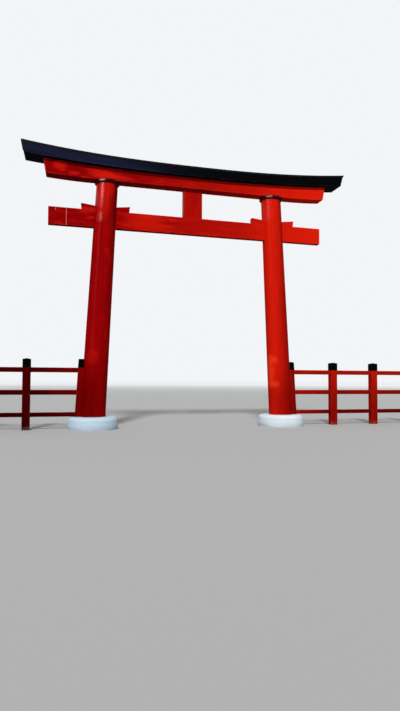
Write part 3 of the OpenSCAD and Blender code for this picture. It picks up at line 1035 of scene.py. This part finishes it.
def cover_skin(timber, cover):
    """The copper cover: a folded sheet over the upper lintel's slopes, with a drip edge along each side.

    The open outline of its outer skin, from drip edge to drip edge over the ridge, is closed
    by the same outline moved in by the thickness. Sheets lie a little under the folded seams,
    which stand up at even distances.
    """
    lo, hi = corners("roof_cover")
    _, edge_y, (under, edge, ridge) = upper_lines()
    power = sori_power()
    slant = (edge[0] - under[0]) / (edge[1] - under[1])
    thick = hi[1] - edge_y
    reach = (hi[0] - (ridge[0] - edge[0])) / edge[0]
    section = at(vertices("roof_cover"), 0, 0, MM)[:, 2]
    drop = section.min() - edge[1]
    top = section.max() - ridge[1]
    peak = section.max() - edge[1]
    chain = [(hi[1], drop), (hi[1], top), (0, peak), (-hi[1], top), (-hi[1], drop)]
    outside, facing, arris = rounded_outline(chain, 0.45 * thick, timber.pitch, closed=False)
    inside = outside - 0.8 * thick * facing
    outline = [np.concatenate([skin, lining[::-1]]) for skin, lining in (
        (outside, inside), (facing, 0 * facing), (arris, 0 * arris),
    )]
    length = 2 * edge[0] * reach
    seams = np.arange(-5, 6) * cover.sheet + length / 2
    seams = seams[np.abs(seams - length / 2) < length / 2 - 3 * cover.seam_w]
    half = cover.seam_w / 2
    marks = [(length * t, cover.seam_h, 0) for t in (0.0, 1.0)]
    marks += [(d, cover.seam_h, 0) for d in np.linspace(0, length, int(length / timber.pitch))
              if np.abs(seams - d).min() > cover.seam_w]
    for middle in seams:
        marks += [(middle - half, cover.seam_h, 0), (middle - 0.6 * half, 0, 1),
                  (middle + 0.6 * half, 0, 1), (middle + half, cover.seam_h, 0)]

    def place(s, a, h):
        u = (2 * s / length - 1) * reach
        return np.stack([u * (edge[0] + slant * h), a, bowed(u * edge[0], edge, power) + h], -1)

    return sweep(outline, np.array(sorted(marks)).T, place)


# The fence


def outer_face(side, node, share):
    """Where a solid that leans with a column has its outer face, at its foot and head, and its depth.

    The depth ends inside the column, at a share of the column's radius out from its middle.
    """
    lo, hi = corners(node)
    foot, head = [(HANDS[side] * at(vertices(node), 2, z)[:, 0]).max() for z in (lo[2], hi[2])]
    column_x, column_r = level_ring(side + "_column", corners(side + "_column")[0][2])
    return foot, head, foot - HANDS[side] * column_x - share * column_r


def end_post_skin(side, timber):
    """An end post: its outer face leans with its column, and its inner face lies inside the column."""
    node = side + "_fence_end_post"
    lo, hi = corners(node)
    foot, head, depth = outer_face(side, node, share=0.6)
    height = hi[2] - lo[2]

    def place(s, a, b):
        face = foot + (head - foot) * s / height
        return np.stack([HANDS[side] * (face - depth / 2 + a), lo[1] + b, lo[2] + s], -1)

    return hewn(rectangle(depth, hi[1] - lo[1]), height, place, timber, timber.arris, end=0.5)


def cap_run(height, half):
    """Heights up a post cap and the inset at each: a lip, a plain side, and a low pyramid to its top."""
    side = height - CAP_RISE
    return np.array([
        (0, CAP_WALL, 0), (0, 0.4 * CAP_WALL, 1), (0.4 * CAP_WALL, 0, 1), (height / 8, 0, 0),
        (height / 8, 0.3 * CAP_WALL, 1), (height / 7, 0.4 * CAP_WALL, 0),
        (side - 1.4 * CAP_WALL, 0.4 * CAP_WALL, 0), (side - CAP_WALL, 0.4 * CAP_WALL, 0.5),
        (side - 0.2 * CAP_WALL, 0.6 * CAP_WALL, 1), (side + 0.1 * CAP_WALL, 1.4 * CAP_WALL, 1),
        (height - 0.5 * CAP_RISE, 0.5 * half, 0), (height - 0.06 * CAP_RISE, 0.94 * half, 0),
        (height, 0.985 * half, 0),
    ]).T


def cap_skin(node, side=None):
    """A post cap, drawn in from ring to ring by the insets of its run.

    A point b across the width of twice a half w moves to w + (b - w) (1 - inset / w). On a square
    cap the other direction does the same about the post's middle. The cap of an end post, which has
    a side, is a sleeve with a ridge top: its outer face leans with the post and is drawn in by the
    inset, as far as the eaves are, and its inner face stays inside the column.
    """
    lo, hi = corners(node)
    half = (hi[1] - lo[1]) / 2
    height = hi[2] - lo[2]
    depth = 2 * half
    if side:
        foot, head, depth = outer_face(side, node, share=0.5)
    outline = rounded_outline(rectangle(depth, 2 * half), 1.5 * CAP_WALL, half / 2, steps=3)
    (a, b), corner = outline[0].T, outline[2]
    along, inset, rim = (part[:, None] for part in cap_run(height, half))
    shrink = 1 - inset / half
    b = half + (b - half) * shrink
    if side:
        drawn = np.where(a > 0, np.minimum(inset, 1.4 * CAP_WALL), 0)
        a = a + 0 * inset
        x = HANDS[side] * (foot + (head - foot) * along / height - depth / 2 + a - drawn)
    else:
        a = a * shrink
        x = (lo[0] + hi[0]) / 2 + a
    z = lo[2] + along + 0 * x
    return np.stack([x, lo[1] + b, z], -1), np.stack([a, b, z], -1), np.maximum(corner, rim)


# Operators, one for each piece or group of like pieces


class TORII_OT_plinths(bpy.types.Operator):
    """Makes the white plinths."""

    bl_idname = "torii.plinths"
    bl_label = "Plinths"

    def execute(self, context):
        scene = context.scene
        for side in SIDES:
            skin = plinth_skin(side, scene.torii_timber, scene.torii_plinth)
            add_skin(side + "_plinth", skin, "white_plaster")
        return {"FINISHED"}


class TORII_OT_columns(bpy.types.Operator):
    """Makes the leaning columns."""

    bl_idname = "torii.columns"
    bl_label = "Columns"

    def execute(self, context):
        for side in SIDES:
            add_skin(side + "_column", column_skin(side, context.scene.torii_timber), VERMILION)
        return {"FINISHED"}


class TORII_OT_capital_rings(bpy.types.Operator):
    """Makes the dark rings on the column heads."""

    bl_idname = "torii.capital_rings"
    bl_label = "Capital Rings"

    def execute(self, context):
        for side in SIDES:
            add_skin(side + "_capital_ring", ring_skin(side, context.scene.torii_timber), "dark_bronze")
        return {"FINISHED"}


class TORII_OT_tie_beam(bpy.types.Operator):
    """Makes the tie beam, with the fine seams of its left end."""

    bl_idname = "torii.tie_beam"
    bl_label = "Tie Beam"

    def execute(self, context):
        marks = [mark for away, _, _ in SEAMS for mark in seam(away)]
        add_skin("tie_beam", straight_timber("tie_beam", 0, context.scene.torii_timber, marks), VERMILION)
        return {"FINISHED"}


class TORII_OT_wedges(bpy.types.Operator):
    """Makes the wedges that lock the tie beam in the columns."""

    bl_idname = "torii.wedges"
    bl_label = "Wedges"

    def execute(self, context):
        for name in WEDGES:
            add_skin(name, wedge_skin(name, context.scene.torii_timber), VERMILION)
        return {"FINISHED"}


class TORII_OT_centre_strut(bpy.types.Operator):
    """Makes the strut between the tie beam and the lower lintel."""

    bl_idname = "torii.centre_strut"
    bl_label = "Centre Strut"

    def execute(self, context):
        add_skin("centre_strut", straight_timber("centre_strut", 2, context.scene.torii_timber), VERMILION)
        return {"FINISHED"}


class TORII_OT_lower_lintel(bpy.types.Operator):
    """Makes the vermilion lower lintel."""

    bl_idname = "torii.lower_lintel"
    bl_label = "Lower Lintel"

    def execute(self, context):
        add_skin("lower_lintel", lower_skin(context.scene.torii_timber), VERMILION)
        return {"FINISHED"}


class TORII_OT_upper_lintel(bpy.types.Operator):
    """Makes the black upswept lintel."""

    bl_idname = "torii.upper_lintel"
    bl_label = "Upper Lintel"

    def execute(self, context):
        add_skin("upper_lintel", upper_skin(context.scene.torii_timber), "black_lacquer")
        return {"FINISHED"}


class TORII_OT_roof_cover(bpy.types.Operator):
    """Makes the copper cover over the upper lintel."""

    bl_idname = "torii.roof_cover"
    bl_label = "Roof Cover"

    def execute(self, context):
        scene = context.scene
        add_skin("roof_cover", cover_skin(scene.torii_timber, scene.torii_cover), "copper_cover")
        return {"FINISHED"}


class TORII_OT_fence_posts(bpy.types.Operator):
    """Makes the fence posts and the end posts that stand against the columns."""

    bl_idname = "torii.fence_posts"
    bl_label = "Fence Posts"

    def execute(self, context):
        timber = context.scene.torii_timber
        for side in SIDES:
            add_skin(side + "_fence_end_post", end_post_skin(side, timber), VERMILION)
            for i in POSTS:
                name = f"{side}_fence_post_{i}"
                add_skin(name, straight_timber(name, 2, timber), VERMILION)
        return {"FINISHED"}


class TORII_OT_fence_caps(bpy.types.Operator):
    """Makes the black caps of the fence posts."""

    bl_idname = "torii.fence_caps"
    bl_label = "Fence Caps"

    def execute(self, context):
        for side in SIDES:
            add_skin(side + "_fence_cap_0", cap_skin(side + "_fence_cap_0", side), "black_caps")
            for i in POSTS:
                name = f"{side}_fence_cap_{i}"
                add_skin(name, cap_skin(name), "black_caps")
        return {"FINISHED"}


class TORII_OT_fence_rails(bpy.types.Operator):
    """Makes the rails that run through the fence posts."""

    bl_idname = "torii.fence_rails"
    bl_label = "Fence Rails"

    def execute(self, context):
        for side in SIDES:
            for level in RAILS:
                name = f"{side}_fence_{level}_rail"
                add_skin(name, straight_timber(name, 0, context.scene.torii_timber), VERMILION)
        return {"FINISHED"}


class TORII_OT_stage(bpy.types.Operator):
    """Makes the pale floor, the plain light and the camera."""

    bl_idname = "torii.stage"
    bl_label = "Stage"

    def execute(self, context):
        stage = context.scene.torii_stage
        add_floor()
        light_world(context.scene, stage)
        add_sun("front_sun", stage.sun, toward=(-0.34, -1.0, 0.92), spread=9)
        glint = add_sun("glint", stage.glint, toward=(-0.82, -0.57, 0.325), spread=20)
        glint.visible_diffuse = False
        add_camera(context.scene, stage)
        context.scene.view_settings.view_transform = "Standard"
        return {"FINISHED"}


def add_floor(half=400.0, nearby=25.0, far_off=150.0):
    """A wide floor at ground level, pale where the camera or a reflection sees it, palest far off."""
    mesh = bpy.data.meshes.new("floor")
    spots = [(-half, -half, 0), (half, -half, 0), (half, half, 0), (-half, half, 0)]
    mesh.from_pydata(spots, [], [(0, 1, 2, 3)])
    ground = Paint("floor", Roughness=0.9, Specular_IOR_Level=0.1)
    away = ground.ramp(ground.length(ground.spot), nearby, far_off)
    pale = ground.mix(away, (0.44, 0.44, 0.435), (0.84, 0.855, 0.87))
    mesh.materials.append(ground.finished(Base_Color=ground.mix(ground.seen(), (0.24, 0.24, 0.25), pale)))
    add_object("floor", mesh)


def light_world(scene, stage, backdrop=0.93):
    """An even pale light from all round, paler where the camera or a reflection sees the sky itself."""
    world = bpy.data.worlds.new("plain_sky")
    scene.world = world
    world.use_nodes = True
    sky = Nodes(world.node_tree)
    background = sky.tree.nodes["Background"].inputs
    background["Color"].default_value = (0.96, 0.98, 1.0, 1.0)
    strength = stage.sky + (backdrop - stage.sky) * sky.seen()
    sky.tree.links.new(strength.socket, background["Strength"])


def add_sun(name, strength, toward, spread):
    """A soft distant lamp that shines from a direction, as wide in the sky as its spread in degrees."""
    lamp = bpy.data.lights.new(name, "SUN")
    lamp.energy = strength
    lamp.angle = math.radians(spread)
    sun = add_object(name, lamp)
    sun.rotation_mode = "QUATERNION"
    sun.rotation_quaternion = Vector(toward).to_track_quat("Z", "Y")
    return sun


def add_camera(scene, stage):
    """The camera of the photograph: rolled, tilted up, turned to the right, and set in its place."""
    lens = bpy.data.cameras.new("camera")
    lens.lens = stage.lens
    lens.sensor_width = 36
    lens.clip_end = 1000
    camera = add_object("camera", lens)
    turned = Matrix.Rotation(-stage.yaw, 4, "Z")
    tilted = Matrix.Rotation(TURN / 4 + stage.tilt, 4, "X")
    rolled = Matrix.Rotation(stage.roll, 4, "Z")
    camera.matrix_world = Matrix.Translation(stage.place) @ turned @ tilted @ rolled
    scene.camera = camera


PIECES = (
    TORII_OT_plinths, TORII_OT_columns, TORII_OT_capital_rings, TORII_OT_tie_beam, TORII_OT_wedges,
    TORII_OT_centre_strut, TORII_OT_lower_lintel, TORII_OT_upper_lintel, TORII_OT_roof_cover,
    TORII_OT_fence_posts, TORII_OT_fence_caps, TORII_OT_fence_rails, TORII_OT_stage,
)
GROUPS = {
    "torii_timber": ToriiTimber,
    "torii_cover": ToriiCover,
    "torii_plinth": ToriiPlinth,
    "torii_paint": ToriiPaint,
    "torii_stage": ToriiStage,
}


class TORII_PT_panel(bpy.types.Panel):
    """Lists the gate's pieces, sizes and colours."""

    bl_label = "Torii Gate"
    bl_idname = "TORII_PT_panel"
    bl_space_type = "VIEW_3D"
    bl_region_type = "UI"
    bl_category = "Torii Gate"

    def draw(self, context):
        for group in GROUPS:
            box = self.layout.box()
            settings = getattr(context.scene, group)
            box.label(text=group.replace("_", " ").title())
            for name in settings.__annotations__:
                box.prop(settings, name)
        for piece in PIECES:
            self.layout.operator(piece.bl_idname)


CLASSES = (*GROUPS.values(), *PIECES, TORII_PT_panel)


def register():
    for kind in CLASSES:
        bpy.utils.register_class(kind)
    for name, group in GROUPS.items():
        setattr(bpy.types.Scene, name, PointerProperty(type=group))


def unregister():
    for name in GROUPS:
        delattr(bpy.types.Scene, name)
    for kind in reversed(CLASSES):
        bpy.utils.unregister_class(kind)


def main():
    register()
    for piece in PIECES:
        group, name = piece.bl_idname.split(".")
        getattr(getattr(bpy.ops, group), name)()
    bpy.context.view_layer.update()


if __name__ == "__main__":
    main()
